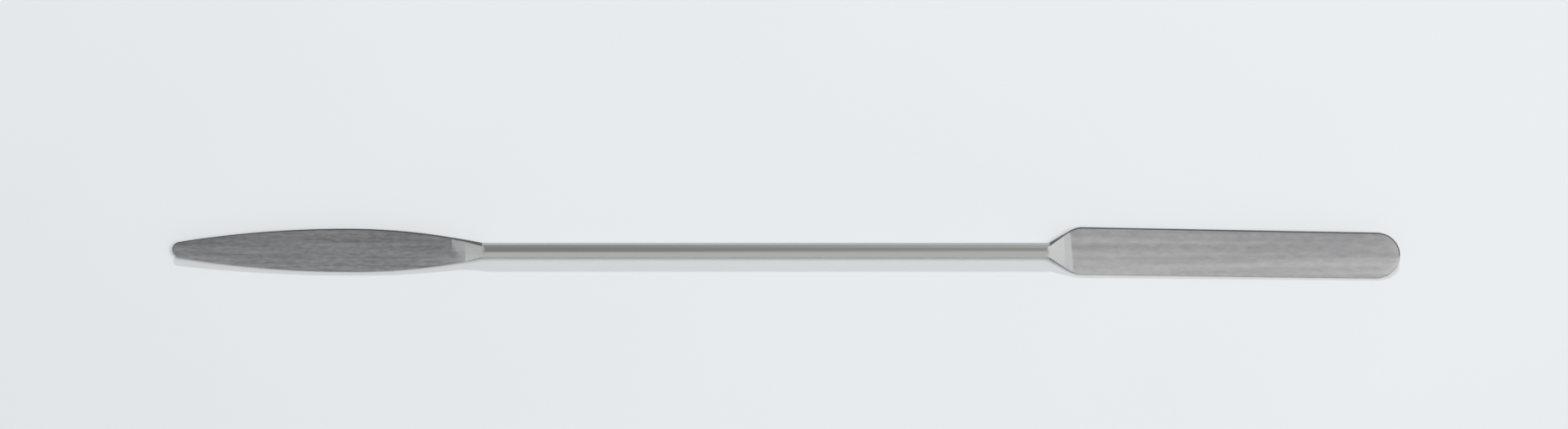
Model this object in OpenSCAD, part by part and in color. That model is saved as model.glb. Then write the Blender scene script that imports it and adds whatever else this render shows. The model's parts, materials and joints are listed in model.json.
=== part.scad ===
// Double-ended laboratory micro spatula, cold-forged in one piece from a round stainless rod.
// One end is a leaf-shaped lancet, the other a parallel flat blade with a round end.
//
// +X runs along the rod from the lancet to the flat blade, +Y is the rear, +Z is up.
// z = 0 is the table. The tool lies on the underside of its rod and, rolled forwards a
// little, on the front edge of its flat blade, and that roll is worked out below.

/* [Overall] */
// Length from the lancet's tip to the flat blade's round end
overall_l = 165; // [150:1:210]

/* [Rod] */
// Diameter of the rod, the stock that both ends are forged from
rod_d = 2; // [1.8:0.1:2.4]
// Depth of the step that the press dies leave in the rod, on its upper and lower sides
step_depth = 0.3; // [0.2:0.02:0.4]
// Length of that step's sloping front
step_l = 0.25; // [0.15:0.05:0.5]
// Height of the middle of both blades above the rod's axis, where the dies met
blade_rise = 0.2; // [0:0.01:0.3]

/* [Flat blade] */
// Length of the flat end, from the step to the round end
flat_l = 47.2; // [40:0.1:60]
// Width across the shoulders, where the flared neck ends
flat_shoulder_w = 6.6; // [6:0.05:7.5]
// Width at the round end, which is a half circle of this diameter
flat_end_w = 6.4; // [5.5:0.05:7]
// Thickness of the blade, whose faces are parallel and whose edges are full round
flat_t = 0.5; // [0.4:0.02:0.7]
// Length over which the rod flares in plan to the shoulders
flat_flare_l = 3.75; // [3:0.05:6]
// Rounding of the shoulders, as the width that it takes off the corner's two sides
flat_shoulder_round = 0.6; // [0.1:0.05:1]
// Length of the neck, whose faces slope down from the step to the blade
flat_neck_l = 3.1; // [2.6:0.1:5]
// Length of the toe, the neck's second and gentler slope, which meets the blade
flat_toe_l = 1; // [0.6:0.1:1.4]
// Share of the neck's whole loss of thickness that its toe takes
flat_toe = 0.22; // [0.1:0.01:0.4]
// How much sooner the neck ends for each distance to the rear, as its dies met askew
flat_skew = 0.09; // [0:0.01:0.15]
// How far the blade's axis starts to the rear of the rod's
flat_offset = 0.05; // [0:0.01:0.2]
// Angle in plan by which the blade's axis runs forwards from the rod's
flat_set = 0.95; // [0.5:0.01:1.5]

/* [Lancet] */
// Length of the lancet end, from the step to the tip
lancet_l = 41.7; // [36:0.1:50]
// Width at the widest point
lancet_w = 6; // [4.5:0.05:6.2]
// Distance of the widest point from the step
lancet_belly = 17.8; // [16:0.1:22]
// Radius of the tip in plan
lancet_tip_r = 1.1; // [0.8:0.05:1.6]
// Thickness of the blade where its neck ends
lancet_root_t = 0.52; // [0.4:0.02:0.6]
// Thickness of the blade at its tip
lancet_tip_t = 0.4; // [0.3:0.02:0.5]
// Length of the neck, whose faces slope down from the step to the blade
lancet_neck_l = 4.2; // [3:0.1:7]
// Length of the toe, the neck's second slope, which meets the blade
lancet_toe_l = 1.8; // [0.6:0.1:2]
// Share of the neck's whole loss of thickness that its toe takes, in mid width
lancet_toe = 0.23; // [0.1:0.01:0.4]
// How far the toe is tilted: at 1 it slopes twice as much at the rear, not at all in front
lancet_toe_tilt = 0.85; // [0:0.05:1]
// Angle in plan by which the lancet's axis runs to the rear of the rod's
lancet_set = 0.2; // [0:0.01:0.4]

/* [Hidden] */
steel = [0.62, 0.63, 0.64];

rod_r = rod_d / 2;
// Half the thickness left at the foot of each step, where the necks begin
step_h = rod_r - step_depth;
// The necks start this much wider and lower than the rod at the foot of its step
seat = 0.01;
// Length of the rod's tongue inside each neck
tongue_l = 0.1;

flat_h = flat_t / 2;
flat_tip_r = flat_end_w / 2;
flat_straight_l = flat_l - flat_tip_r;

// The faces of a round edge meet the upper and lower faces smoothly, in this many steps
edge_steps = 10;
// Spacing of the sections along a neck, and of those along the lancet's long curves
neck_pitch = 0.2;
curve_pitch = 1.1;
// Angle between the sections round a tip
tip_pitch = 5;

// Distance in front of the rod's axis of the flat blade's front edge at its round end,
// taken at the centre of the edge's half round, whose radius is flat_h.
edge_reach = flat_tip_r - flat_axis(flat_straight_l) - flat_h;
// The tool rolls forwards about its rod until this half round is on the table with the
// rod. Its centre goes from blade_rise above the rod's axis to rod_r - flat_h below it.
roll = asin((rod_r - flat_h) / norm([edge_reach, blade_rise])) + atan(blade_rise / edge_reach);

// ---------------------------------------------------------------- sections
// A section is [s, axis, half_w, lean, rear, front]:
//   s       distance along the end from the foot of the step
//   axis    sideways place of its middle
//   half_w  half the width, at mid thickness
//   lean    angle in plan between the edge's outward normal and straight sideways
//   rear    profile of its rear edge, [middle, half_h, round]: the height of its middle,
//           half its thickness, and the radius of the arc that it is rounded to
//   front   profile of its front edge. The faces run straight from edge to edge.

// One side of a section, from its lower face (turn = -90) to its upper face (turn = 90)
function section_side(sec, side, turns) =
    let (edge = side > 0 ? sec[4] : sec[5])
    [
        for (turn = turns)
            let (z = edge[1] * sin(turn))
            let (inset = edge[2] - sqrt(edge[2] * edge[2] - z * z))
            let (y = sec[1] + side * (sec[2] - inset * cos(sec[3])))
            [sec[0] - inset * sin(sec[3]), y, edge[0] + z]
    ];

// A closed ring of points round one section: up the rear edge and down the front one
function section_ring(sec) =
    let (rising = [for (i = [0 : edge_steps]) 180 * i / edge_steps - 90])
    let (falling = [for (turn = rising) -turn])
    concat(section_side(sec, 1, rising), section_side(sec, -1, falling));

// A solid through a row of sections. The first is closed by a flat face. At the last, the
// rear edge is joined straight across to the front edge, which closes a rounded tip.
module loft(sections) {
    ring = 2 * (edge_steps + 1);
    last = (len(sections) - 1) * ring;
    skin = [
        for (i = [0 : len(sections) - 2], j = [0 : ring - 1])
            let (a = i * ring + j)
            let (b = i * ring + (j + 1) % ring)
            [a, a + ring, b + ring, b]
    ];
    root = [[for (j = [0 : ring - 1]) j]];
    tip = [
        for (j = [0 : edge_steps - 1])
            [last + j, last + ring - 1 - j, last + ring - 2 - j, last + j + 1]
    ];
    points = [for (sec = sections) each section_ring(sec)];
    polyhedron(points = points, faces = concat(skin, root, tip), convexity = 4);
}

// ---------------------------------------------------------------- necks
// Share of a neck's loss of thickness still to come, where left of its length is left:
// a straight slope from the step, and a toe that takes the share toe over toe_l
function neck_share(left, neck_l, toe_l, toe) =
    left < toe_l
        ? toe * max(left, 0) / toe_l
        : toe + (1 - toe) * (left - toe_l) / (neck_l - toe_l);

// Profile of an edge where that share is still to come, on a blade of half thickness
// end_h. The middle rises as the thickness comes down. The arc goes from the rod's own,
// where rest is 1, to a half round, where rest is 0.
function edge_profile(share, end_h, rest) =
    let (h = end_h + (step_h - seat - end_h) * share)
    [blade_rise * (1 - share), h, h + (rod_r - h) * rest];

// How much of the rod's own rounding the edges of a neck still have
function neck_rest(s, neck_l) = pow(max(1 - s / neck_l, 0), 2);

// Round lower of two heights, which joins two straight lines by a small curve
function round_min(a, b, reach) =
    min(a, b) - pow(max(reach - abs(a - b), 0), 2) / (4 * reach);

// Numbers from a to b, both included, in equal steps of about the given pitch
function stations(a, b, pitch) =
    let (n = ceil((b - a) / pitch))
    [for (i = [0 : n]) a + (b - a) * i / n];

// ---------------------------------------------------------------- flat blade
// Sideways place of the blade's axis, to the rear of the rod's axis
function flat_axis(s) = flat_offset * min(s / flat_flare_l, 1) - s * tan(flat_set);

// Half the width in plan: a straight flare, rounded shoulders, then sides that close in
function flat_half_w(s) =
    let (shoulder = flat_shoulder_w / 2)
    let (start = rod_r + seat)
    let (flare = start + (shoulder + flat_shoulder_round / 4 - start) * s / flat_flare_l)
    let (along = (s - flat_flare_l) / (flat_straight_l - flat_flare_l))
    let (side = shoulder + (flat_tip_r - shoulder) * max(along, 0))
    round_min(flare, side, flat_shoulder_round);

// Profile of the edge on one side, where the neck is longer or shorter by the skew
function flat_edge(s, side, half_w) =
    let (askew = side * half_w * flat_skew * min(s / flat_neck_l, 1))
    let (share = neck_share(flat_neck_l - s - askew, flat_neck_l, flat_toe_l, flat_toe))
    edge_profile(share, flat_h, neck_rest(s, flat_neck_l));

function flat_neck_section(s) =
    let (half_w = flat_half_w(s))
    [s, flat_axis(s), half_w, 0, flat_edge(s, 1, half_w), flat_edge(s, -1, half_w)];

function flat_tip_section(turn) =
    let (s = flat_straight_l + flat_tip_r * sin(turn))
    let (edge = edge_profile(0, flat_h, 0))
    [s, flat_axis(s), flat_tip_r * cos(turn), turn, edge, edge];

module flat_end() {
    shoulder_end = max(flat_flare_l, flat_neck_l) + 1;
    turns = stations(0, 90 - tip_pitch / 2, tip_pitch);
    loft(concat(
        [for (s = stations(0, shoulder_end, neck_pitch)) flat_neck_section(s)],
        [for (turn = turns) flat_tip_section(turn)]
    ));
}

// ---------------------------------------------------------------- lancet
// The outline has three arcs a side. The long ones meet at the belly, the widest point.
// The first comes down to the rod, the second ends on the tip's circle, tangent to it.
lancet_half_w = lancet_w / 2;
lancet_tip_centre = lancet_l - lancet_tip_r;
lancet_belly_to_tip = lancet_tip_centre - lancet_belly;
// Radius of an arc that drops by fall over run, level at its start
function arc_r(run, fall) = (run * run + fall * fall) / (2 * fall);
lancet_root_r = arc_r(lancet_belly, lancet_half_w - rod_r - seat);
// Radius of an arc that is level at the belly and touches the tip's circle from outside
lancet_front_r = (pow(lancet_belly_to_tip, 2) + pow(lancet_half_w, 2) - pow(lancet_tip_r, 2))
    / (2 * (lancet_half_w - lancet_tip_r));
// Angle in plan at which the front arc meets the tip's circle
lancet_tip_turn = asin(lancet_belly_to_tip / (lancet_front_r - lancet_tip_r));

function lancet_axis(s) = s * tan(lancet_set);

function lancet_h(s) =
    let (along = (s - lancet_neck_l) / (lancet_l - lancet_neck_l))
    lancet_root_t / 2 + (lancet_tip_t - lancet_root_t) / 2 * max(along, 0);

// Profile of the edge on one side, where the toe is steeper or gentler by its tilt
function lancet_edge(s, side) =
    let (toe = lancet_toe * (1 + side * lancet_toe_tilt))
    let (share = neck_share(lancet_neck_l - s, lancet_neck_l, lancet_toe_l, toe))
    edge_profile(share, lancet_h(s), neck_rest(s, lancet_neck_l));

// Section on one of the long arcs, the root arc before the belly or the front arc after it
function lancet_side_section(s) =
    let (radius = s < lancet_belly ? lancet_root_r : lancet_front_r)
    let (turn = asin((s - lancet_belly) / radius))
    let (half_w = lancet_half_w - radius * (1 - cos(turn)))
    [s, lancet_axis(s), half_w, max(turn, 0), lancet_edge(s, 1), lancet_edge(s, -1)];

function lancet_tip_section(turn) =
    let (s = lancet_tip_centre + lancet_tip_r * sin(turn))
    let (edge = edge_profile(0, lancet_h(s), 0))
    [s, lancet_axis(s), lancet_tip_r * cos(turn), turn, edge, edge];

module lancet_end() {
    front_end = lancet_belly + lancet_front_r * sin(lancet_tip_turn);
    tip_turns = stations(lancet_tip_turn + tip_pitch, 90 - tip_pitch / 2, tip_pitch);
    loft(concat(
        [for (s = stations(0, lancet_neck_l, neck_pitch)) lancet_side_section(s)],
        [for (s = stations(lancet_neck_l + curve_pitch, front_end, curve_pitch))
            lancet_side_section(s)],
        [for (turn = tip_turns) lancet_tip_section(turn)]
    ));
}

// ---------------------------------------------------------------- rod
// A plain cylinder, stepped down above and below where the dies closed at its two ends.
// Past each step a lower tongue runs on inside the neck, so that rod and neck are one.
module rod(length) {
    tongue_h = step_h - tongue_l;
    upper_end = [[length + tongue_l, tongue_h], [length, step_h], [length - step_l, rod_r]];
    upper_start = [[step_l, rod_r], [0, step_h], [-tongue_l, tongue_h]];
    upper = concat(upper_end, upper_start);
    lower = [for (i = [len(upper) - 1 : -1 : 0]) [upper[i][0], -upper[i][1]]];
    intersection() {
        translate([-tongue_l, 0, 0])
            rotate([0, 90, 0])
                cylinder(r = rod_r, h = length + 2 * tongue_l, $fn = 64);
        rotate([90, 0, 0])
            linear_extrude(height = 2 * rod_d, center = true)
                polygon(concat(upper, lower));
    }
}

module spatula() {
    rod_start = lancet_l - overall_l / 2;
    rod_end = overall_l / 2 - flat_l;
    color(steel)
        translate([0, 0, rod_r])
            rotate([roll, 0, 0])
                union() {
                    translate([rod_start, 0, 0]) rod(rod_end - rod_start);
                    translate([rod_start, 0, 0]) mirror([1, 0, 0]) lancet_end();
                    translate([rod_end, 0, 0]) flat_end();
                }
}

spatula();
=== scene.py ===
"""Looks of a double-ended laboratory micro spatula of cold-forged stainless steel.

The tool is one skin. Its cross-sections run from the tip of the lancet, along the rod,
to the round end of the flat blade. It lies on a pale paper sheet in soft studio light.
Sizes in the classes are in millimetres unless they say otherwise. Meshes are in metres.
"""

import json
import logging
import math
from dataclasses import dataclass, field
from enum import Enum
from typing import Any

import bmesh
import bpy
import numpy as np
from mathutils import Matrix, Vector

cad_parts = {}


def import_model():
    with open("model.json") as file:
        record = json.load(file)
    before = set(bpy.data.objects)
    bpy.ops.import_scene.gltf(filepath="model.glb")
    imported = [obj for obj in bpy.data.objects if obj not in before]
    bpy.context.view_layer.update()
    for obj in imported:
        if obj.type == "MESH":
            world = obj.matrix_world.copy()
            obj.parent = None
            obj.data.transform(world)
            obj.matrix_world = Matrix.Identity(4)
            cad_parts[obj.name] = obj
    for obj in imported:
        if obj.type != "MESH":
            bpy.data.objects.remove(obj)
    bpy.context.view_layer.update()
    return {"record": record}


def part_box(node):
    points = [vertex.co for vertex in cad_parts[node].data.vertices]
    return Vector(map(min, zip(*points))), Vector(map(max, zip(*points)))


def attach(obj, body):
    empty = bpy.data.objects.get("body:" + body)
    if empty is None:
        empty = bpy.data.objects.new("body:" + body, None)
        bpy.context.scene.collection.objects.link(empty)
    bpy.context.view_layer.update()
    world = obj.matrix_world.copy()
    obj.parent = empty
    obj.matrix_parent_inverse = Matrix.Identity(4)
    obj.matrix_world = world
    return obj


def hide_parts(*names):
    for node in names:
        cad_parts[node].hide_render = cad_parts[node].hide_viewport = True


LOG = logging.getLogger("spatula")
MM = 0.001
NODE = "spatula"
GRAIN_MAP = "grain"
# Points nearer than this, in metres, are one point.
SAME_PLACE = 1e-7
# Nearly all of a noise texture's values lie between these two.
NOISE_LOW, NOISE_HIGH = 0.3, 0.7


class Mark(Enum):
    """How the steel was last worked, and where shade is painted on the edges. Each is a point
    attribute of the mesh, from 0 to 1.
    """

    DRAWN = "drawn"
    PRESSED = "pressed"
    EDGE = "edge"
    LANCET = "lancet"


class Blend(Enum):
    """What a mix node mixes: its data type, and the numbers of its three sockets."""

    COLOURS = ("RGBA", 6, 7, 2)
    NUMBERS = ("FLOAT", 2, 3, 0)


def linear(hex_colour: str) -> tuple[float, float, float, float]:
    """Turns an sRGB hex colour into linear light.

    Args:
        hex_colour: A hash and six hex digits.

    Returns:
        Linear red, green and blue, and an alpha of 1.
    """
    parts = [int(hex_colour[i : i + 2], 16) / 255 for i in (1, 3, 5)]
    red, green, blue = (
        c / 12.92 if c <= 0.04045 else ((c + 0.055) / 1.055) ** 2.4 for c in parts
    )
    return red, green, blue, 1.0


def add_node(
    tree: bpy.types.NodeTree, kind: str, inputs: dict[Any, Any], **settings: Any
) -> bpy.types.Node:
    """Adds a node, sets it up and links it.

    Args:
        tree: The node tree it goes into.
        kind: The node's Blender type name.
        inputs: Input name or number, and the value or output socket that it takes.
        **settings: Properties of the node.

    Returns:
        The new node.
    """
    node = tree.nodes.new(kind)
    for name, value in settings.items():
        setattr(node, name, value)
    for name, value in inputs.items():
        if isinstance(value, bpy.types.NodeSocket):
            tree.links.new(value, node.inputs[name])
        else:
            node.inputs[name].default_value = value
    return node


def mixed(
    tree: bpy.types.NodeTree, blend: Blend, share: Any, first: Any, second: Any
) -> bpy.types.NodeSocket:
    """Mixes two colours or two numbers.

    Args:
        tree: The node tree.
        blend: Whether they are colours or numbers.
        share: How much of the second, as a value or a socket.
        first: The first colour or number, as a value or a socket.
        second: The second.

    Returns:
        The mix.
    """
    kind, first_socket, second_socket, output = blend.value
    inputs = {0: share, first_socket: first, second_socket: second}
    return add_node(tree, "ShaderNodeMix", inputs, data_type=kind).outputs[output]


def steps(start: float, end: float, pitch: float) -> np.ndarray:
    """Equal steps from start to end, both included, of about the given pitch."""
    return np.linspace(start, end, max(2, math.ceil((end - start) / pitch) + 1))


@dataclass(frozen=True)
class Ring:
    """The points round one cross-section, each as a share across and a share up.

    Across is 1 at the rear edge and -1 at the front one, and up is 1 on the upper face
    and -1 on the lower. The ring starts and ends in the middle of the lower face.

    Attributes:
        edge_steps: Number of steps round each edge.
        span_steps: Number of steps across each face.
    """

    edge_steps: int = 14
    span_steps: int = 18

    def shares(self) -> tuple[np.ndarray, np.ndarray]:
        """Works out the ring's points.

        Half the lower face, the rear edge rising by equal turns, the upper face, the
        front edge falling, and the other half of the lower face.

        Returns:
            Shares across and shares up, as two rows with the first point repeated last.
        """
        rise = np.sin(np.linspace(-math.pi / 2, math.pi / 2, self.edge_steps + 1))
        half = np.linspace(0, 1, self.span_steps // 2 + 1)[:-1]
        span = np.linspace(1, -1, self.span_steps + 1)[1:-1]
        edge = np.ones_like(rise)
        across = np.concatenate([half, edge, span, -edge, -half[::-1]])
        level = np.ones_like(span)
        up = np.concatenate([0 * half - 1, rise, level, rise[::-1], 0 * half - 1])
        return across, up


@dataclass(frozen=True)
class Plan:
    """The outline in plan of a row of cross-sections, one value each in every array.

    Attributes:
        along: Distance from the foot of the step, outwards.
        axis: Place of the blade's middle to the rear of the rod's axis.
        half_width: Half the width at mid thickness.
        lean: Angle between the edge's outward normal and straight sideways.
    """

    along: np.ndarray
    axis: np.ndarray
    half_width: np.ndarray
    lean: np.ndarray


@dataclass(frozen=True)
class Rod:
    """The drawn round bar in the middle, pressed flat by a step at either end.

    Attributes:
        radius: Radius of the bar.
        step_depth: How far down either face is pressed at the foot of a step.
        step_length: Length of the slope from the foot up to the bar.
        crease: Width of the turn from the slope to the bar.
        pitch: Distance between the sections beyond it.
    """

    radius: float = 1.0
    step_depth: float = 0.3
    step_length: float = 0.25
    crease: float = 0.05
    pitch: float = 1.6

    @property
    def step_height(self) -> float:
        """Half the thickness left at the foot of each step."""
        return self.radius - self.step_depth

    def rings(self, ring: Ring, length: float) -> tuple[np.ndarray, dict[Mark, np.ndarray]]:
        """The rod's skin between the feet of its two steps.

        The edges are arcs of the rod's circle, up to the height of the step's foot. The
        upper and lower faces follow the same circle, but no higher than the step, which
        rises in a straight slope from its foot. The slope is marked as pressed and all
        the rest as drawn.

        Args:
            ring: The points round a section.
            length: Distance between the two feet.

        Returns:
            Points as sections by ring by (along, rear, up), and the marks.
        """
        across, up = ring.shares()
        step = np.array([0, self.step_length / 2, self.step_length])
        plain = self.step_length + self.crease
        inner = steps(plain, length - plain, self.pitch)
        along = np.concatenate([step, inner, length - step[::-1]])[:, None]
        sill = self.step_height * np.abs(up)
        rear = across * np.sqrt(self.radius**2 - sill**2)
        from_foot = np.minimum(along, length - along)
        slope = self.step_height + self.step_depth * np.minimum(from_foot / self.step_length, 1)
        circle = np.sqrt(self.radius**2 - rear**2)
        on_face = np.abs(up) == 1
        height = np.where(on_face, np.minimum(circle, slope), self.step_height)
        points = np.stack(np.broadcast_arrays(along, rear, up * height), -1)
        stepped = (slope < self.radius) & on_face
        marks = {mark: np.zeros(points.shape[:2]) for mark in Mark}
        marks[Mark.DRAWN] += ~stepped
        marks[Mark.PRESSED] += stepped
        return points, marks


@dataclass(frozen=True)
class ForgedEnd:
    """What both forged ends share: a neck that slopes down from the rod into a blade.

    The neck has two straight slopes, the fall from the step and the gentler toe.

    Attributes:
        rod: The bar that it is forged from.
        length: From the foot of the step to the tip.
        tip_radius: Radius of the tip in plan.
        neck_length: Length of the neck.
        toe_length: Length of its toe.
        toe_share: Share of the loss of thickness that the toe takes, in mid width.
        toe_tilt: At 1 the toe slopes twice as much at the rear, and not at all in front.
        die_skew: How much sooner the neck ends per distance to the rear.
        crown: How much lower each face is at its edges than in its middle.
        relief: How much lower again the upper face is at the front edge.
        toe_skin: Share of the dies' bright skin left in the middle of the toe. The rear
            keeps all of it, and the front loses twice as much as the middle.
        skin_reach: Share of a fully tilted toe that is ground bare in the middle. In
            front it is twice that.
        skin_fade: Share of the toe over which the skin fades out towards the blade.
        skin_lip: Length over which the skin begins at the neck's end.
        rear_edge_shade: How much painted shade darkens the rear edge.
        front_edge_shade: How much painted shade darkens the front edge.
        die_rise: Height of the blade's middle above the rod's axis.
        neck_pitch: Distance between the sections of the neck.
        blade_pitch: Distance between the sections of the blade.
        tip_turn: Angle between the sections round the tip, in degrees.
    """

    rod: Rod
    length: float
    tip_radius: float
    neck_length: float
    toe_length: float
    toe_share: float
    toe_tilt: float
    die_skew: float
    crown: float
    relief: float
    toe_skin: float = 1.0
    skin_reach: float = 0.65
    skin_fade: float = 0.5
    skin_lip: float = 0.12
    rear_edge_shade: float = 1.0
    front_edge_shade: float = 0.3
    die_rise: float = 0.2
    neck_pitch: float = 0.1
    blade_pitch: float = 1.0
    tip_turn: float = 3.0

    def plan(self) -> Plan:
        """The outline in plan."""
        raise NotImplementedError

    def blade_height(self, along: np.ndarray) -> np.ndarray:
        """Half the blade's own thickness along its middle."""
        raise NotImplementedError

    def left(self, along: np.ndarray, rear: np.ndarray) -> np.ndarray:
        """How much of the neck is left ahead, as the skewed dies pressed it."""
        skew = self.die_skew * rear * np.clip(along / self.neck_length, 0, 1)
        return np.maximum(self.neck_length - along - skew, 0)

    def share_to_come(self, left: np.ndarray, across: np.ndarray) -> np.ndarray:
        """Share of the neck's loss of thickness that is still to come.

        It falls evenly from 1 at the step to the toe's own share where the toe begins,
        and evenly from there to 0. The toe's share grows towards the rear by its tilt.

        Args:
            left: How much of the neck's length is left.
            across: Share of the way from the middle to the rear edge.

        Returns:
            The share at each place.
        """
        toe = self.toe_share * (1 + self.toe_tilt * across)
        fall = toe + (1 - toe) * (left - self.toe_length) / (self.neck_length - self.toe_length)
        return np.where(left < self.toe_length, toe * left / self.toe_length, fall)

    def marks(
        self, left: np.ndarray, across: np.ndarray, up: np.ndarray
    ) -> dict[Mark, np.ndarray]:
        """Marks the faces that keep the dies' bright skin, and the edges that get painted
        shade.

        The blade's grinding cuts into a tilted toe. As a share of the toe, the cut is
        nothing at the rear, the tilt times the skin's reach in the middle, and twice
        that in front. From the cut on the skin is whole, and it fades evenly to none
        over its fade before it. It also begins evenly over its lip at the neck's end. In
        the toe it is scaled by a share that goes evenly from all of it at the rear
        through the toe's own share in the middle, and on to the front. An edge gets
        painted shade, as much as the rear's or the front's value says.

        Args:
            left: How much of the neck's length is left.
            across: Share of the way from the middle to the rear edge.
            up: Share of the way from the middle to the upper face.

        Returns:
            The marks, one value for each point.
        """
        bare = self.toe_tilt * self.skin_reach * (1 - across)
        grown = np.clip(1 + (left / self.toe_length - bare) / self.skin_fade, 0, 1)
        begun = np.minimum(left / self.skin_lip, 1)
        kept = self.toe_skin + (1 - self.toe_skin) * across
        kept = np.where(left < self.toe_length, kept, 1.0)
        on_face = np.abs(up) == 1
        # Painted shade on the edge rounds, heavier on the rear edge than on the front one.
        dark = np.where(across > 0, self.rear_edge_shade, self.front_edge_shade)
        marks = {mark: np.zeros(left.shape) for mark in Mark}
        marks[Mark.PRESSED] += begun * kept * grown * on_face
        marks[Mark.EDGE] += dark * ~on_face
        return marks

    def rings(self, ring: Ring) -> tuple[np.ndarray, dict[Mark, np.ndarray]]:
        """The end's skin, from the foot of the step to the closed tip.

        Half the thickness is the blade's and the share to come of what is lost. The
        blade loses the crown times the cube of the share of the way to its edge from
        either face, and the relief times that share's fourth power from the front of
        the upper face alone, and both fade out round the tip. A point lies at its share
        up of that height. The edge draws in from its widest by the sagitta of its round,
        whose radius is the rod's at the step and eases to the height itself at the
        neck's end. The middle rises as the thickness comes down.

        Args:
            ring: The points round a section.

        Returns:
            Points as sections by ring by (along, rear, up), and the marks.
        """
        across, up = ring.shares()
        plan = self.plan()
        along, axis, half_width, lean = (
            row[:, None] for row in (plan.along, plan.axis, plan.half_width, plan.lean)
        )
        left = self.left(along, across * half_width)
        share = self.share_to_come(left, across)
        reach = np.minimum(half_width / self.tip_radius, 1)
        crowned = self.crown * reach * np.abs(across) ** 3
        relieved = self.relief * reach * np.clip(-across, 0, 1) ** 4 / 2
        blade = self.blade_height(along) - crowned - relieved
        height = blade + (self.rod.step_height - blade) * share
        eased = np.maximum(1 - along / self.neck_length, 0) ** 2
        bulge = height + (self.rod.radius - height) * eased
        drawn_in = bulge - np.sqrt(bulge**2 - (up * height) ** 2)
        points = np.stack(
            [
                along - drawn_in * np.sin(lean),
                axis + across * (half_width - drawn_in * np.cos(lean)),
                (self.die_rise - relieved) * (1 - share) + up * height,
            ],
            -1,
        )
        return points, self.marks(left, across, up)


@dataclass(frozen=True)
class FlatBlade(ForgedEnd):
    """The parallel flat blade with a half-round end.

    Attributes:
        flare_length: Length over which the blade widens from the rod.
        shoulder_width: Width at the end of the flare.
        shoulder_round: How near the flare and the side come before they are rounded.
        thickness: Thickness in mid width.
        offset: Place of the blade's middle to the rear of the rod's axis.
        set_angle: Angle by which the blade points forwards, in degrees.
    """

    length: float = 47.2
    tip_radius: float = 3.2
    neck_length: float = 3.1
    toe_length: float = 1.0
    toe_share: float = 0.22
    toe_tilt: float = 0.0
    die_skew: float = 0.09
    crown: float = 0.09
    relief: float = 0.08
    flare_length: float = 3.75
    shoulder_width: float = 6.6
    shoulder_round: float = 0.6
    thickness: float = 0.5
    offset: float = 0.05
    set_angle: float = 0.95

    def blade_height(self, along: np.ndarray) -> np.ndarray:
        """Half the blade's own thickness, the same all along."""
        return np.full_like(along, self.thickness / 2)

    def plan(self) -> Plan:
        """The outline: a straight flare, rounded shoulders, closing sides, a half circle.

        The flare and the side are two straight lines. Where they come within the
        shoulder's rounding of each other, the square of that overlap is taken off.

        Returns:
            The outline, with the sections round the tip at equal turns.
        """
        straight = self.length - self.tip_radius
        fine_end = self.flare_length + self.blade_pitch
        body = np.concatenate(
            [
                steps(0, fine_end, self.neck_pitch),
                steps(fine_end + self.blade_pitch, straight, self.blade_pitch),
            ]
        )
        shoulder = self.shoulder_width / 2
        reach = self.shoulder_round
        slope = (shoulder + reach / 4 - self.rod.radius) / self.flare_length
        flare = self.rod.radius + slope * body
        beyond = np.maximum((body - self.flare_length) / (straight - self.flare_length), 0)
        side = shoulder + (self.tip_radius - shoulder) * beyond
        overlap = np.maximum(reach - np.abs(flare - side), 0)
        body_width = np.minimum(flare, side) - overlap**2 / (4 * reach)
        turn = np.radians(steps(self.tip_turn, 90, self.tip_turn))
        along = np.concatenate([body, straight + self.tip_radius * np.sin(turn)])
        half_width = np.concatenate([body_width, self.tip_radius * np.cos(turn)])
        lean = np.concatenate([np.zeros_like(body), turn])
        offset = self.offset * np.minimum(along / self.flare_length, 1)
        axis = offset - along * math.tan(math.radians(self.set_angle))
        return Plan(along, axis, half_width, lean)


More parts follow.
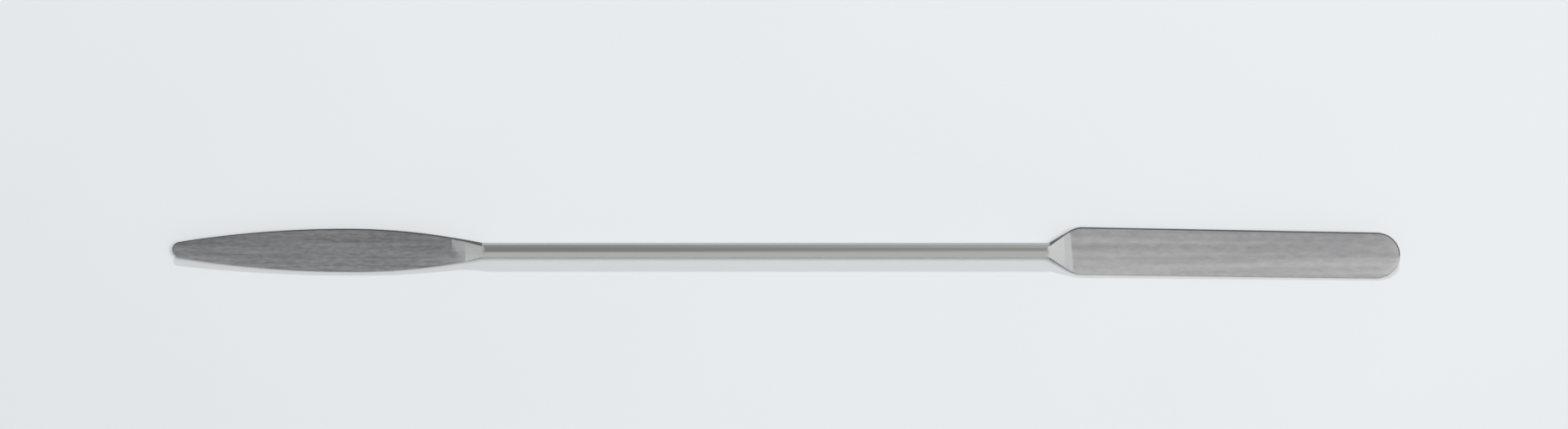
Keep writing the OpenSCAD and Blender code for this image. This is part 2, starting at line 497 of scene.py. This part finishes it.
@dataclass(frozen=True)
class LancetBlade(ForgedEnd):
    """The leaf-shaped lancet, of three arcs a side, that thins towards its tip.

    Attributes:
        width: Width at the belly.
        belly: Distance of the belly, the widest point, from the foot of the step.
        root_thickness: Thickness in mid width where the neck ends.
        tip_thickness: Thickness at the tip.
        set_angle: Angle by which the blade points to the rear, in degrees.
    """

    length: float = 41.7
    tip_radius: float = 1.1
    neck_length: float = 4.2
    toe_length: float = 1.8
    toe_share: float = 0.23
    toe_tilt: float = 0.85
    die_skew: float = 0.0
    crown: float = 0.09
    relief: float = 0.12
    toe_skin: float = 0.65
    width: float = 6.0
    belly: float = 17.8
    root_thickness: float = 0.52
    tip_thickness: float = 0.4
    set_angle: float = 0.2
    neck_pitch: float = 0.12
    blade_pitch: float = 0.6

    def blade_height(self, along: np.ndarray) -> np.ndarray:
        """Half the blade's own thickness, which falls evenly from the neck to the tip.

        Args:
            along: Distance from the foot of the step.

        Returns:
            The half thickness at each place.
        """
        share = (along - self.neck_length) / (self.length - self.neck_length)
        thinning = (self.tip_thickness - self.root_thickness) * np.maximum(share, 0)
        return (self.root_thickness + thinning) / 2

    def plan(self) -> Plan:
        """The outline: an arc from the rod to the belly, one to the tip, and the tip.

        Both long arcs are level at the belly, the widest point. The first drops to the
        rod's width. The second touches the tip's circle from outside.

        Returns:
            The outline, with the sections round the tip at equal turns.
        """
        half = self.width / 2
        fall = half - self.rod.radius
        root_arc = (self.belly**2 + fall**2) / (2 * fall)
        centre = self.length - self.tip_radius
        run = centre - self.belly
        front_arc = (run**2 + half**2 - self.tip_radius**2) / (2 * (half - self.tip_radius))
        meet = math.asin(run / (front_arc - self.tip_radius))
        front_end = self.belly + front_arc * math.sin(meet)
        body = np.concatenate(
            [
                steps(0, self.neck_length, self.neck_pitch),
                steps(self.neck_length + self.blade_pitch, front_end, self.blade_pitch),
            ]
        )
        radius = np.where(body < self.belly, root_arc, front_arc)
        swing = np.arcsin((body - self.belly) / radius)
        start = math.degrees(meet) + self.tip_turn
        turn = np.radians(steps(start, 90, self.tip_turn))
        along = np.concatenate([body, centre + self.tip_radius * np.sin(turn)])
        body_width = half - radius * (1 - np.cos(swing))
        half_width = np.concatenate([body_width, self.tip_radius * np.cos(turn)])
        lean = np.concatenate([np.maximum(swing, 0), turn])
        return Plan(along, along * math.tan(math.radians(self.set_angle)), half_width, lean)


@dataclass(frozen=True)
class BeltGrind:
    """The tones and the pattern that one pass of belt grinding left on one blade, and the
    painted shade added to its tones.

    Attributes:
        light: Colour where the grit bit deepest.
        dark: Colour where it hardly touched.
        streak: Length and width of the long streaks, in millimetres.
        fleck: Length and width of the short flecks between them.
        fleckiness: Share of the flecks in the pattern.
        rear_painted_shade: How much painted shade lowers the tone with each millimetre to the
            rear.
    """

    light: str
    dark: str
    streak: tuple[float, float]
    fleck: tuple[float, float]
    fleckiness: float
    rear_painted_shade: float


@dataclass(frozen=True)
class BeltGroundStainlessSteel:
    """Type 304 stainless steel, drawn into rod, cold-forged, and belt-ground lengthwise.

    The grinding gives the blades a soft grey sheen with faint streaks along the tool.
    The rod keeps the drawing die's smoother skin, and the necks the dies' bright one.

    Attributes:
        flat: The grind of the flat blade.
        lancet: The grind of the lancet, its tones partly darkened as painted shade.
        edge: Colour of the painted shade on the edges.
        pressed: Colour of the necks.
        drawn: Colour of the rod.
        ground_roughness: Roughness of the ground faces and the edges.
        pressed_roughness: Roughness of the necks.
        drawn_roughness: Roughness of the rod.
        grain_roughness: How far the lines swing the roughness in all.
        anisotropy: How much further the sheen spreads across the grain than along it.
        line: Length and width of the fine lines of the belt and the drawing die.
        line_depth: Depth of the lines.
        line_strength: How strongly they tilt the sheen.
        noise_detail: How many finer layers each pattern has.
        noise_roughness: How strong each layer is beside the one before.
    """

    flat: BeltGrind = BeltGrind("#CFCECC", "#A7A6A8", (52, 1.25), (1.3, 0.55), 0.3, 0.05)
    # The lancet's streaks are its own grind, but its tones are darkened as painted shade for
    # the dimmer light it mirrors.
    lancet: BeltGrind = BeltGrind("#ABABAC", "#828286", (10, 0.55), (1.1, 0.35), 0.5, 0.0)
    # A dark tone painted on the edge rounds as shade.
    edge: str = "#686A6C"
    pressed: str = "#CFD0CF"
    drawn: str = "#BDBEBB"
    ground_roughness: float = 0.34
    pressed_roughness: float = 0.24
    drawn_roughness: float = 0.13
    grain_roughness: float = 0.10
    anisotropy: float = 0.6
    line: tuple[float, float] = (9.0, 0.16)
    line_depth: float = 0.004
    line_strength: float = 0.5
    noise_detail: float = 1.5
    noise_roughness: float = 0.6

    def noise(
        self,
        tree: bpy.types.NodeTree,
        place: bpy.types.NodeSocket,
        size: tuple[float, float],
    ) -> bpy.types.NodeSocket:
        """Noise drawn out along the tool.

        Args:
            tree: The material's nodes.
            place: Object coordinates turned into the blades' plane, in metres.
            size: Length of its features along the tool and their width, in millimetres.

        Returns:
            The noise, from 0 to 1.
        """
        length, width = size
        scale = (1 / (length * MM), 1 / (width * MM), 1 / (width * MM))
        spread = add_node(tree, "ShaderNodeMapping", {"Vector": place, "Scale": scale})
        made = add_node(
            tree,
            "ShaderNodeTexNoise",
            {
                "Vector": spread.outputs[0],
                "Scale": 1.0,
                "Detail": self.noise_detail,
                "Roughness": self.noise_roughness,
            },
        )
        return made.outputs["Fac"]

    def ground(
        self, tree: bpy.types.NodeTree, place: bpy.types.NodeSocket, belt: BeltGrind
    ) -> bpy.types.NodeSocket:
        """Mixes the two tones of a belt-ground face by its streaks and flecks, and paints shade
        towards its rear.

        Args:
            tree: The material's nodes.
            place: Object coordinates turned into the blades' plane, in metres.
            belt: The grind.

        Returns:
            The colour.
        """
        streaks = self.noise(tree, place, belt.streak)
        flecks = self.noise(tree, place, belt.fleck)
        tone = mixed(tree, Blend.NUMBERS, belt.fleckiness, streaks, flecks)
        tone = add_node(
            tree,
            "ShaderNodeMapRange",
            {"Value": tone, "From Min": NOISE_LOW, "From Max": NOISE_HIGH},
        ).outputs[0]
        # Painted shade: the tone falls a little towards the rear of the blade.
        rear = add_node(tree, "ShaderNodeSeparateXYZ", {0: place}).outputs["Y"]
        tone = add_node(
            tree,
            "ShaderNodeMath",
            {0: rear, 1: -belt.rear_painted_shade / MM, 2: tone},
            operation="MULTIPLY_ADD",
            use_clamp=True,
        ).outputs[0]
        return mixed(tree, Blend.COLOURS, tone, linear(belt.dark), linear(belt.light))

    def material(self, roll: float) -> bpy.types.Material:
        """Builds the material.

        Args:
            roll: Angle by which the tool lies rolled forwards, in radians.

        Returns:
            The material, which reads the tool's marks and its UV map.
        """
        material = bpy.data.materials.new("belt_ground_stainless_steel")
        material.use_nodes = True
        tree = material.node_tree
        tree.nodes.clear()
        seen = add_node(tree, "ShaderNodeTexCoord", {})
        place = add_node(
            tree,
            "ShaderNodeMapping",
            {"Vector": seen.outputs["Object"], "Rotation": (-roll, 0, 0)},
        ).outputs[0]
        marks = {
            mark: add_node(
                tree, "ShaderNodeAttribute", {}, attribute_name=mark.value
            ).outputs["Fac"]
            for mark in Mark
        }
        # The grit leaves lines about 0.03 mm wide. They are drawn 0.16 mm wide to show.
        lines = self.noise(tree, place, self.line)
        ground = self.ground(tree, place, self.flat)
        # The lancet's darker tones are partly painted shade.
        lancet = self.ground(tree, place, self.lancet)
        colour = mixed(tree, Blend.COLOURS, marks[Mark.LANCET], ground, lancet)
        rough = self.ground_roughness
        # The edges get painted shade, and the necks and the rod get their own finishes.
        for mark, tone in (
            (Mark.EDGE, self.edge),
            (Mark.PRESSED, self.pressed),
            (Mark.DRAWN, self.drawn),
        ):
            colour = mixed(tree, Blend.COLOURS, marks[mark], colour, linear(tone))
        for mark, roughness in (
            (Mark.PRESSED, self.pressed_roughness),
            (Mark.DRAWN, self.drawn_roughness),
        ):
            rough = mixed(tree, Blend.NUMBERS, marks[mark], rough, roughness)
        swing = add_node(
            tree,
            "ShaderNodeMapRange",
            {
                "Value": lines,
                "From Min": NOISE_LOW,
                "From Max": NOISE_HIGH,
                "To Min": -self.grain_roughness / 2,
                "To Max": self.grain_roughness / 2,
            },
        )
        rough = add_node(
            tree, "ShaderNodeMath", {0: rough, 1: swing.outputs[0]}, operation="ADD"
        )
        bump = add_node(
            tree,
            "ShaderNodeBump",
            {
                "Height": lines,
                "Strength": self.line_strength,
                "Distance": self.line_depth * MM,
            },
        )
        # The map's U runs across the tool, so the sheen spreads across the grain.
        tangent = add_node(
            tree, "ShaderNodeTangent", {}, direction_type="UV_MAP", uv_map=GRAIN_MAP
        )
        shader = add_node(
            tree,
            "ShaderNodeBsdfPrincipled",
            {
                "Base Color": colour,
                "Metallic": 1.0,
                "Roughness": rough.outputs[0],
                "Anisotropic": self.anisotropy,
                "Tangent": tangent.outputs[0],
                "Normal": bump.outputs[0],
            },
        )
        add_node(tree, "ShaderNodeOutputMaterial", {"Surface": shader.outputs[0]})
        return material


@dataclass
class Spatula:
    """The whole tool: lancet, rod and flat blade as one closed skin.

    Attributes:
        low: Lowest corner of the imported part, in metres.
        high: Its highest corner.
        record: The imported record, whose mounts give the roll and the rod's axis.
        ring: The points round each section.
        rod: The bar.
        steel: The finish.
        sharp_angle: Angle between two faces, in degrees, past which their edge is sharp.
    """

    low: Vector
    high: Vector
    record: dict[str, Any]
    ring: Ring = field(default_factory=Ring)
    rod: Rod = field(default_factory=Rod)
    steel: BeltGroundStainlessSteel = field(default_factory=BeltGroundStainlessSteel)
    sharp_angle: float = 24.0

    def __post_init__(self) -> None:
        """Forges both ends from the rod and reads how the tool lies from its mounts."""
        self.lancet = LancetBlade(rod=self.rod)
        self.flat = FlatBlade(rod=self.rod)
        mounts = {mount["name"]: mount for mount in self.record["mounts"]}
        _, across, up = mounts["blade_face"]["axis"]
        self.roll = math.atan2(-across, up)
        self.axis = Vector(mounts["handle_rod"]["pos_m"])

    def skin(self) -> tuple[np.ndarray, dict[Mark, np.ndarray]]:
        """Joins the rings of the three stretches and lays the tool on the table.

        The lancet's rings are turned about end for end. Its first ring and the flat
        blade's are the rod's own. The roll turns every point about the rod's axis.

        Returns:
            Points in metres as rings by points by 3, and the marks.
        """
        rod_start = self.low.x / MM + self.lancet.length
        rod_end = self.high.x / MM - self.flat.length
        lancet, lancet_marks = self.lancet.rings(self.ring)
        rod, rod_marks = self.rod.rings(self.ring, rod_end - rod_start)
        flat, flat_marks = self.flat.rings(self.ring)
        lancet[..., 0] = rod_start - lancet[..., 0]
        rod[..., 0] += rod_start
        flat[..., 0] += rod_end
        lancet_marks[Mark.LANCET] += 1
        points = np.concatenate([lancet[:0:-1], rod, flat[1:]])
        marks = {
            mark: np.concatenate(
                [lancet_marks[mark][:0:-1], rod_marks[mark], flat_marks[mark][1:]]
            )
            for mark in Mark
        }
        rear, up = points[..., 1].copy(), points[..., 2].copy()
        points[..., 1] = rear * math.cos(self.roll) - up * math.sin(self.roll)
        points[..., 2] = rear * math.sin(self.roll) + up * math.cos(self.roll)
        points *= MM
        points[..., 1:] += np.array(self.axis)[1:]
        return points, marks

    def mesh(self) -> bpy.types.Mesh:
        """Builds the closed mesh, with its marks and its UV map.

        U is the length round the ring from the middle of the lower face, and V the
        length along the tool, so that the map is the skin unrolled.

        Returns:
            The mesh.
        """
        points, marks = self.skin()
        rings, columns = points.shape[0], points.shape[1] - 1
        i, j = np.meshgrid(np.arange(rings - 1), np.arange(columns), indexing="ij")
        next_j = (j + 1) % columns
        corners = [(i, j), (i, next_j), (i + 1, next_j), (i + 1, j)]
        faces = np.stack([a * columns + b for a, b in corners], -1).reshape(-1, 4)
        mesh = bpy.data.meshes.new("spatula_steel")
        mesh.from_pydata(points[:, :-1].reshape(-1, 3).tolist(), [], faces.tolist())
        gaps = np.linalg.norm(np.diff(points, axis=1), axis=2)
        around = np.concatenate([np.zeros((rings, 1)), np.cumsum(gaps, 1)], 1)
        chart = np.stack([around, points[..., 0] - self.low.x], -1)
        chart /= self.high.x - self.low.x
        turns = ((0, 0), (0, 1), (1, 1), (1, 0))
        chart = np.stack([chart[i + a, j + b] for a, b in turns], 2)
        layer = mesh.uv_layers.new(name=GRAIN_MAP)
        layer.uv.foreach_set("vector", chart.astype(np.float32).ravel())
        for mark, shares in marks.items():
            attribute = mesh.attributes.new(mark.value, "FLOAT", "POINT")
            attribute.data.foreach_set("value", shares[:, :-1].astype(np.float32).ravel())
        shell = bmesh.new()
        shell.from_mesh(mesh)
        bmesh.ops.remove_doubles(shell, verts=shell.verts, dist=SAME_PLACE)
        shell.to_mesh(mesh)
        shell.free()
        mesh.shade_smooth()
        mesh.set_sharp_from_angle(angle=math.radians(self.sharp_angle))
        return mesh

    def build(self) -> bpy.types.Object:
        """Makes the tool, dresses it in steel and puts it in the place of its CAD node.

        Returns:
            The piece.
        """
        mesh = self.mesh()
        mesh.materials.append(self.steel.material(self.roll))
        piece = bpy.data.objects.new("spatula_steel", mesh)
        bpy.context.scene.collection.objects.link(piece)
        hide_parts(NODE)
        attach(piece, "root")
        return piece


@dataclass(frozen=True)
class MattePaper:
    """Matte background paper, pressed smooth: a bluish white with faint clouds of pulp.

    Attributes:
        light: Colour of the thin places.
        dark: Colour of the thick ones.
        cloud_size: Distance between the clouds.
        cloud_detail: How many finer layers they have.
        roughness: Roughness of the sheet.
        specular: Strength of its faint gloss.
    """

    light: str = "#E8ECEE"
    dark: str = "#E3E7E9"
    cloud_size: float = 60.0
    cloud_detail: float = 3.0
    roughness: float = 0.9
    specular: float = 0.2

    def material(self) -> bpy.types.Material:
        """Builds the material, clouded at the size that pulp settles at.

        Returns:
            The material.
        """
        material = bpy.data.materials.new("pressed_matte_paper")
        material.use_nodes = True
        tree = material.node_tree
        tree.nodes.clear()
        seen = add_node(tree, "ShaderNodeTexCoord", {})
        clouds = add_node(
            tree,
            "ShaderNodeTexNoise",
            {
                "Vector": seen.outputs["Object"],
                "Scale": 1 / (self.cloud_size * MM),
                "Detail": self.cloud_detail,
            },
        )
        colour = mixed(
            tree,
            Blend.COLOURS,
            clouds.outputs["Fac"],
            linear(self.dark),
            linear(self.light),
        )
        shader = add_node(
            tree,
            "ShaderNodeBsdfPrincipled",
            {
                "Base Color": colour,
                "Roughness": self.roughness,
                "Specular IOR Level": self.specular,
            },
        )
        add_node(tree, "ShaderNodeOutputMaterial", {"Surface": shader.outputs[0]})
        return material


@dataclass(frozen=True)
class Lamp:
    """A round soft lamp turned to the tool, which no polished face mirrors.

    Attributes:
        name: Its name.
        place: Where it hangs from the tool's middle: right, rear and up.
        size: Its diameter.
        power: Its power in watts.
    """

    name: str
    place: tuple[float, float, float]
    size: float
    power: float

    def hang(self, target: Vector) -> bpy.types.Object:
        """Hangs the lamp and turns it to the target.

        Args:
            target: The point below the tool's middle, in metres.

        Returns:
            The lamp.
        """
        lamp = bpy.data.lights.new(self.name, "AREA")
        lamp.shape = "DISK"
        lamp.size = self.size * MM
        lamp.energy = self.power
        away = Vector(self.place) * MM
        hung = bpy.data.objects.new(self.name, lamp)
        hung.location = target + away
        hung.rotation_euler = away.to_track_quat("Z", "Y").to_euler()
        hung.visible_glossy = False
        bpy.context.scene.collection.objects.link(hung)
        return hung


@dataclass(frozen=True)
class Glow:
    """A broad soft light in one part of the sky.

    Attributes:
        levels: Its brightness in the left half and in the right half.
        span: Where it begins to take over, and where it has fully, on the way from 0
            overhead to 1 or -1 at the horizon.
    """

    levels: tuple[float, float]
    span: tuple[float, float]


@dataclass(frozen=True)
class Studio:
    """The sheet that the tool lies on, the soft light round it, and the camera.

    Brightness is the light's radiance, where 1 shows a colour as it is written. The
    steel mirrors a soft sky, brighter at the sides than overhead and brightest on the
    right. A lamp at the rear casts the tool's shadow, and a wide one overhead evens out
    the light on the sheet.

    Attributes:
        floor_half: Half the side of the sheet.
        floor_cells: Number of squares along its side.
        ceiling: Brightness straight overhead, in the left half and in the right half.
        overhead: The glow from overhead to the front.
        rear: The glow at the rear.
        front: The glow in front.
        left: The glow on the left.
        right: The glow on the right.
        middle: Where the left half ends and where the right half begins.
        spread: Share of the sky's brightness that lights matte surfaces.
        tint: Colour of the sky.
        key: The lamp that casts the shadow.
        top: The lamp that evens out the light.
        camera_height: Height of the camera above the sheet.
        camera_right: Its place to the right of the tool's middle.
        camera_rear: Its place to the rear of the rod's axis.
        lens: Its focal length.
        sensor: Width of its sensor.
    """

    floor_half: float = 3000.0
    floor_cells: int = 12
    ceiling: tuple[float, float] = (0.37, 0.52)
    overhead: Glow = Glow((0.41, 0.81), (0.05, -0.33))
    rear: Glow = Glow((0.43, 0.71), (0.40, 0.85))
    front: Glow = Glow((0.82, 0.82), (-0.28, -0.70))
    left: Glow = Glow((0.72, 0.72), (-0.10, -0.32))
    right: Glow = Glow((1.07, 1.07), (0.19, 0.27))
    middle: tuple[float, float] = (-0.07, 0.08)
    spread: float = 0.30
    tint: str = "#FDFEFF"
    key: Lamp = Lamp("rear_key", (0.0, 1892.0, 1478.0), 120.0, 18.2)
    top: Lamp = Lamp("top_box", (250.0, 150.0, 1050.0), 700.0, 7.75)
    camera_height: float = 586.5
    camera_right: float = -0.32
    camera_rear: float = 4.82
    lens: float = 100.0
    sensor: float = 36.0

    def floor(self, level: float) -> bpy.types.Object:
        """Lays the sheet, a level square grid.

        Args:
            level: Its height in metres.

        Returns:
            The sheet.
        """
        row = self.floor_cells + 1
        reach = np.linspace(-self.floor_half, self.floor_half, row) * MM
        x, y = np.meshgrid(reach, reach)
        points = np.stack([x, y, np.full_like(x, level)], -1).reshape(-1, 3)
        i, j = np.meshgrid(np.arange(self.floor_cells), np.arange(self.floor_cells))
        first = (j * row + i).ravel()
        faces = np.stack([first, first + 1, first + row + 1, first + row], -1)
        mesh = bpy.data.meshes.new("paper_sheet")
        mesh.from_pydata(points.tolist(), [], faces.tolist())
        mesh.materials.append(MattePaper().material())
        sheet = bpy.data.objects.new("paper_sheet", mesh)
        bpy.context.scene.collection.objects.link(sheet)
        return sheet

    def eased(
        self,
        tree: bpy.types.NodeTree,
        value: bpy.types.NodeSocket,
        span: tuple[float, float],
        levels: tuple[Any, Any],
    ) -> bpy.types.NodeSocket:
        """Goes from one level to another by a smooth step.

        Args:
            tree: The world's nodes.
            value: What the step depends on.
            span: The values where it begins and ends.
            levels: The level before it and the level after it, as numbers or sockets.

        Returns:
            The level.
        """
        return add_node(
            tree,
            "ShaderNodeMapRange",
            {
                "Value": value,
                "From Min": span[0],
                "From Max": span[1],
                "To Min": levels[0],
                "To Max": levels[1],
            },
            interpolation_type="SMOOTHSTEP",
        ).outputs[0]

    def sky(self) -> bpy.types.World:
        """Makes the soft light all round as a function of direction.

        It starts as the ceiling. The overhead, rear and front glows take over by smooth
        steps on how far rearwards or forwards a direction points, and then the left and
        right ones on how far sideways it points. Each goes from its left level to its
        right one by a smooth step across the middle.

        Returns:
            The world.
        """
        world = bpy.data.worlds.new("studio_light")
        world.use_nodes = True
        tree = world.node_tree
        tree.nodes.clear()
        seen = add_node(tree, "ShaderNodeTexCoord", {})
        split = add_node(tree, "ShaderNodeSeparateXYZ", {0: seen.outputs["Generated"]})
        sideways, rearwards = split.outputs["X"], split.outputs["Y"]
        level = self.eased(tree, sideways, self.middle, self.ceiling)
        for glow, way in (
            (self.overhead, rearwards),
            (self.rear, rearwards),
            (self.front, rearwards),
            (self.left, sideways),
            (self.right, sideways),
        ):
            halves = self.eased(tree, sideways, self.middle, glow.levels)
            level = self.eased(tree, way, glow.span, (level, halves))
        ray = add_node(tree, "ShaderNodeLightPath", {})
        mirrored = add_node(
            tree,
            "ShaderNodeMath",
            {0: ray.outputs["Is Glossy Ray"], 1: ray.outputs["Is Transmission Ray"]},
            operation="MAXIMUM",
        ).outputs[0]
        seen_by = add_node(
            tree,
            "ShaderNodeMath",
            {0: ray.outputs["Is Camera Ray"], 1: mirrored},
            operation="MAXIMUM",
        ).outputs[0]
        share = add_node(
            tree,
            "ShaderNodeMapRange",
            {"Value": seen_by, "To Min": self.spread, "To Max": 1.0},
        ).outputs[0]
        strength = add_node(
            tree, "ShaderNodeMath", {0: level, 1: share}, operation="MULTIPLY"
        ).outputs[0]
        background = add_node(
            tree, "ShaderNodeBackground", {"Color": linear(self.tint), "Strength": strength}
        )
        add_node(tree, "ShaderNodeOutputWorld", {"Surface": background.outputs[0]})
        bpy.context.scene.world = world
        return world

    def camera(self, target: Vector) -> bpy.types.Object:
        """Sets the camera above the target, looking straight down.

        Args:
            target: The point below the tool's middle, in metres.

        Returns:
            The camera.
        """
        camera = bpy.data.cameras.new("camera")
        camera.lens = self.lens
        camera.sensor_width = self.sensor
        camera_object = bpy.data.objects.new("camera", camera)
        away = Vector((self.camera_right, self.camera_rear, self.camera_height)) * MM
        camera_object.location = target + away
        bpy.context.scene.collection.objects.link(camera_object)
        bpy.context.scene.camera = camera_object
        return camera_object

    def build(self, target: Vector) -> bpy.types.Object:
        """Sets up the sheet, the light, the lamps and the camera round the target.

        Args:
            target: The point below the tool's middle, in metres.

        Returns:
            The sheet.
        """
        sheet = self.floor(target.z)
        self.sky()
        self.key.hang(target)
        self.top.hang(target)
        self.camera(target)
        bpy.context.scene.view_settings.view_transform = "Standard"
        return sheet


def main() -> None:
    """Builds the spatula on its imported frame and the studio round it."""
    logging.basicConfig(level=logging.INFO, format="%(name)s: %(message)s")
    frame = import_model()
    low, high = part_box(NODE)
    tool = Spatula(low, high, frame["record"])
    piece = tool.build()
    LOG.info("%s: %d faces", piece.name, len(piece.data.polygons))
    foot = Vector(((low.x + high.x) / 2, tool.axis.y, low.z))
    studio = Studio()
    sheet = studio.build(foot)
    LOG.info("%s: %.0f mm square", sheet.name, 2 * studio.floor_half)


if __name__ == "__main__":
    main()
